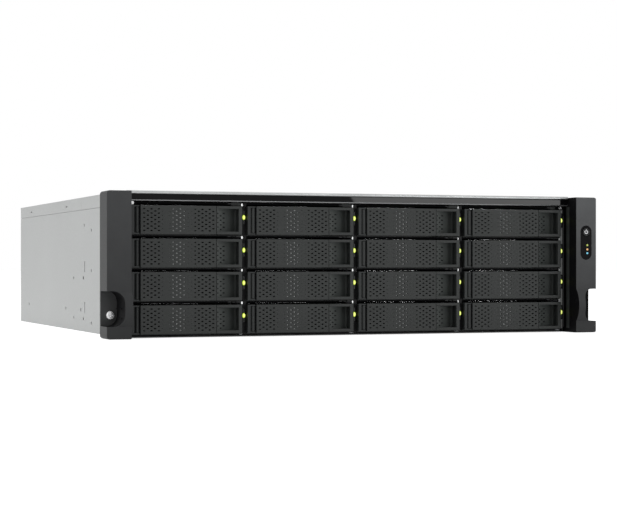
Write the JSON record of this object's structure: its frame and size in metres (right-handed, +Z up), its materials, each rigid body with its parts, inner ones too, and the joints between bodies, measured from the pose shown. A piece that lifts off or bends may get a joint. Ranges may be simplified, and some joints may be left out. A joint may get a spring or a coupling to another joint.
{
  "type": "network attached storage",
  "caption": "Rack-mount network storage server with hot-swap drive carriers behind hinged front levers, sliding lid, case fans and slide-out power supplies.",
  "frame": {"origin": "middle of the footprint of the whole product, on the underside of the case", "axes": "+Z up, +Y from the drive bays to the rear panel, +X to the right as seen from the front"},
  "size_m": [0.482, 0.551, 0.131],
  "materials": {
    "silver_paint": "satin powder coat",
    "zinc_steel": "zinc plated",
    "charcoal_plastic": "fine texture",
    "ear_plastic": "fine texture",
    "gloss_black": "gloss",
    "fan_plastic": "semi-matte",
    "circuit_board": "solder mask",
    "fin_aluminium": "mill finish",
    "drive_casing": "cast and machined",
    "light_lens": "clear lens",
    "latch_green": "satin"
  },
  "bodies": {
    "chassis": {"base_tray": "silver_paint", "rear_panel": "silver_paint", "front_roof": "silver_paint", "front_bar": "gloss_black", "drive_cage": "zinc_steel", "backplane": "circuit_board", "fan_wall": "zinc_steel", "mainboard": "circuit_board", "cpu_cooler": "fin_aluminium", "memory_modules": "circuit_board", "rear_ports": "zinc_steel", "psu_cage": "zinc_steel", "left_ear": "ear_plastic", "right_ear": "ear_plastic", "drive_lights": "light_lens", "status_lights": "gloss_black", "rack_screws": "zinc_steel"},
    "carrier_01": {"carrier_01": "drive_casing"},
    "lever_01": {"lever_01": "charcoal_plastic"},
    "carrier_02": {"carrier_02": "drive_casing"},
    "lever_02": {"lever_02": "charcoal_plastic"},
    "carrier_03": {"carrier_03": "drive_casing"},
    "lever_03": {"lever_03": "charcoal_plastic"},
    "carrier_04": {"carrier_04": "drive_casing"},
    "lever_04": {"lever_04": "charcoal_plastic"},
    "carrier_05": {"carrier_05": "drive_casing"},
    "lever_05": {"lever_05": "charcoal_plastic"},
    "carrier_06": {"carrier_06": "drive_casing"},
    "lever_06": {"lever_06": "charcoal_plastic"},
    "carrier_07": {"carrier_07": "drive_casing"},
    "lever_07": {"lever_07": "charcoal_plastic"},
    "carrier_08": {"carrier_08": "drive_casing"},
    "lever_08": {"lever_08": "charcoal_plastic"},
    "carrier_09": {"carrier_09": "drive_casing"},
    "lever_09": {"lever_09": "charcoal_plastic"},
    "carrier_10": {"carrier_10": "drive_casing"},
    "lever_10": {"lever_10": "charcoal_plastic"},
    "carrier_11": {"carrier_11": "drive_casing"},
    "lever_11": {"lever_11": "charcoal_plastic"},
    "carrier_12": {"carrier_12": "drive_casing"},
    "lever_12": {"lever_12": "charcoal_plastic"},
    "carrier_13": {"carrier_13": "drive_casing"},
    "lever_13": {"lever_13": "charcoal_plastic"},
    "carrier_14": {"carrier_14": "drive_casing"},
    "lever_14": {"lever_14": "charcoal_plastic"},
    "carrier_15": {"carrier_15": "drive_casing"},
    "lever_15": {"lever_15": "charcoal_plastic"},
    "carrier_16": {"carrier_16": "drive_casing"},
    "lever_16": {"lever_16": "charcoal_plastic"},
    "fan_rotor_left": {"fan_rotor_left": "fan_plastic"},
    "fan_rotor_middle": {"fan_rotor_middle": "fan_plastic"},
    "fan_rotor_right": {"fan_rotor_right": "fan_plastic"},
    "psu_upper": {"psu_upper": "fin_aluminium"},
    "psu_lower": {"psu_lower": "fin_aluminium"},
    "psu_upper_latch": {"psu_upper_latch": "latch_green"},
    "psu_lower_latch": {"psu_lower_latch": "latch_green"},
    "psu_upper_fan": {"psu_upper_fan": "fan_plastic"},
    "psu_lower_fan": {"psu_lower_fan": "fan_plastic"},
    "power_button": {"power_button": "gloss_black"},
    "rear_lid": {"rear_lid": "silver_paint"}
  },
  "joints": [
    {"name": "carrier_01_slide", "type": "slide", "parent": "chassis", "child": "carrier_01", "axis": [0, -1, 0], "range_m": [0, 0.19]},
    {"name": "lever_01_hinge", "type": "hinge", "parent": "carrier_01", "child": "lever_01", "pos_m": [-0.2091, -0.2499, 0.10515], "axis": [0, 0, -1], "range_deg": [0, 65]},
    {"name": "carrier_02_slide", "type": "slide", "parent": "chassis", "child": "carrier_02", "axis": [0, -1, 0], "range_m": [0, 0.19]},
    {"name": "lever_02_hinge", "type": "hinge", "parent": "carrier_02", "child": "lever_02", "pos_m": [-0.1011, -0.2499, 0.10515], "axis": [0, 0, -1], "range_deg": [0, 65]},
    {"name": "carrier_03_slide", "type": "slide", "parent": "chassis", "child": "carrier_03", "axis": [0, -1, 0], "range_m": [0, 0.19]},
    {"name": "lever_03_hinge", "type": "hinge", "parent": "carrier_03", "child": "lever_03", "pos_m": [0.0069, -0.2499, 0.10515], "axis": [0, 0, -1], "range_deg": [0, 65]},
    {"name": "carrier_04_slide", "type": "slide", "parent": "chassis", "child": "carrier_04", "axis": [0, -1, 0], "range_m": [0, 0.19]},
    {"name": "lever_04_hinge", "type": "hinge", "parent": "carrier_04", "child": "lever_04", "pos_m": [0.1149, -0.2499, 0.10515], "axis": [0, 0, -1], "range_deg": [0, 65]},
    {"name": "carrier_05_slide", "type": "slide", "parent": "chassis", "child": "carrier_05", "axis": [0, -1, 0], "range_m": [0, 0.19]},
    {"name": "lever_05_hinge", "type": "hinge", "parent": "carrier_05", "child": "lever_05", "pos_m": [-0.2091, -0.2499, 0.0755], "axis": [0, 0, -1], "range_deg": [0, 65]},
    {"name": "carrier_06_slide", "type": "slide", "parent": "chassis", "child": "carrier_06", "axis": [0, -1, 0], "range_m": [0, 0.19]},
    {"name": "lever_06_hinge", "type": "hinge", "parent": "carrier_06", "child": "lever_06", "pos_m": [-0.1011, -0.2499, 0.0755], "axis": [0, 0, -1], "range_deg": [0, 65]},
    {"name": "carrier_07_slide", "type": "slide", "parent": "chassis", "child": "carrier_07", "axis": [0, -1, 0], "range_m": [0, 0.19]},
    {"name": "lever_07_hinge", "type": "hinge", "parent": "carrier_07", "child": "lever_07", "pos_m": [0.0069, -0.2499, 0.0755], "axis": [0, 0, -1], "range_deg": [0, 65]},
    {"name": "carrier_08_slide", "type": "slide", "parent": "chassis", "child": "carrier_08", "axis": [0, -1, 0], "range_m": [0, 0.19]},
    {"name": "lever_08_hinge", "type": "hinge", "parent": "carrier_08", "child": "lever_08", "pos_m": [0.1149, -0.2499, 0.0755], "axis": [0, 0, -1], "range_deg": [0, 65]},
    {"name": "carrier_09_slide", "type": "slide", "parent": "chassis", "child": "carrier_09", "axis": [0, -1, 0], "range_m": [0, 0.19]},
    {"name": "lever_09_hinge", "type": "hinge", "parent": "carrier_09", "child": "lever_09", "pos_m": [-0.2091, -0.2499, 0.04585], "axis": [0, 0, -1], "range_deg": [0, 65]},
    {"name": "carrier_10_slide", "type": "slide", "parent": "chassis", "child": "carrier_10", "axis": [0, -1, 0], "range_m": [0, 0.19]},
    {"name": "lever_10_hinge", "type": "hinge", "parent": "carrier_10", "child": "lever_10", "pos_m": [-0.1011, -0.2499, 0.04585], "axis": [0, 0, -1], "range_deg": [0, 65]},
    {"name": "carrier_11_slide", "type": "slide", "parent": "chassis", "child": "carrier_11", "axis": [0, -1, 0], "range_m": [0, 0.19]},
    {"name": "lever_11_hinge", "type": "hinge", "parent": "carrier_11", "child": "lever_11", "pos_m": [0.0069, -0.2499, 0.04585], "axis": [0, 0, -1], "range_deg": [0, 65]},
    {"name": "carrier_12_slide", "type": "slide", "parent": "chassis", "child": "carrier_12", "axis": [0, -1, 0], "range_m": [0, 0.19]},
    {"name": "lever_12_hinge", "type": "hinge", "parent": "carrier_12", "child": "lever_12", "pos_m": [0.1149, -0.2499, 0.04585], "axis": [0, 0, -1], "range_deg": [0, 65]},
    {"name": "carrier_13_slide", "type": "slide", "parent": "chassis", "child": "carrier_13", "axis": [0, -1, 0], "range_m": [0, 0.19]},
    {"name": "lever_13_hinge", "type": "hinge", "parent": "carrier_13", "child": "lever_13", "pos_m": [-0.2091, -0.2499, 0.0162], "axis": [0, 0, -1], "range_deg": [0, 65]},
    {"name": "carrier_14_slide", "type": "slide", "parent": "chassis", "child": "carrier_14", "axis": [0, -1, 0], "range_m": [0, 0.19]},
    {"name": "lever_14_hinge", "type": "hinge", "parent": "carrier_14", "child": "lever_14", "pos_m": [-0.1011, -0.2499, 0.0162], "axis": [0, 0, -1], "range_deg": [0, 65]},
    {"name": "carrier_15_slide", "type": "slide", "parent": "chassis", "child": "carrier_15", "axis": [0, -1, 0], "range_m": [0, 0.19]},
    {"name": "lever_15_hinge", "type": "hinge", "parent": "carrier_15", "child": "lever_15", "pos_m": [0.0069, -0.2499, 0.0162], "axis": [0, 0, -1], "range_deg": [0, 65]},
    {"name": "carrier_16_slide", "type": "slide", "parent": "chassis", "child": "carrier_16", "axis": [0, -1, 0], "range_m": [0, 0.19]},
    {"name": "lever_16_hinge", "type": "hinge", "parent": "carrier_16", "child": "lever_16", "pos_m": [0.1149, -0.2499, 0.0162], "axis": [0, 0, -1], "range_deg": [0, 65]},
    {"name": "fan_left_spin", "type": "hinge", "parent": "chassis", "child": "fan_rotor_left", "pos_m": [-0.15, -0.0235, 0.064], "axis": [0, 1, 0], "continuous": true},
    {"name": "fan_middle_spin", "type": "hinge", "parent": "chassis", "child": "fan_rotor_middle", "pos_m": [-0.022, -0.0235, 0.064], "axis": [0, 1, 0], "continuous": true},
    {"name": "fan_right_spin", "type": "hinge", "parent": "chassis", "child": "fan_rotor_right", "pos_m": [0.106, -0.0235, 0.064], "axis": [0, 1, 0], "continuous": true},
    {"name": "psu_lower_slide", "type": "slide", "parent": "chassis", "child": "psu_lower", "axis": [0, 1, 0], "range_m": [0, 0.19]},
    {"name": "psu_lower_latch_hinge", "type": "hinge", "parent": "psu_lower", "child": "psu_lower_latch", "pos_m": [0.158, 0.2245, 0.0414], "axis": [-1, 0, 0], "range_deg": [0, 5], "stiffness_Nm_per_rad": 0.5},
    {"name": "psu_lower_fan_spin", "type": "hinge", "parent": "psu_lower", "child": "psu_lower_fan", "pos_m": [0.1915, 0.2415, 0.0244], "axis": [0, 1, 0], "continuous": true},
    {"name": "psu_upper_slide", "type": "slide", "parent": "chassis", "child": "psu_upper", "axis": [0, 1, 0], "range_m": [0, 0.19]},
    {"name": "psu_upper_latch_hinge", "type": "hinge", "parent": "psu_upper", "child": "psu_upper_latch", "pos_m": [0.158, 0.2245, 0.0846], "axis": [-1, 0, 0], "range_deg": [0, 5], "stiffness_Nm_per_rad": 0.5},
    {"name": "psu_upper_fan_spin", "type": "hinge", "parent": "psu_upper", "child": "psu_upper_fan", "pos_m": [0.1915, 0.2415, 0.0676], "axis": [0, 1, 0], "continuous": true},
    {"name": "power_button_press", "type": "slide", "parent": "chassis", "child": "power_button", "axis": [0, 1, 0], "range_m": [0, 0.0015], "stiffness_N_per_m": 600},
    {"name": "rear_lid_slide", "type": "slide", "parent": "chassis", "child": "rear_lid", "axis": [0, 1, 0], "range_m": [0, 0.3]}
  ]
}
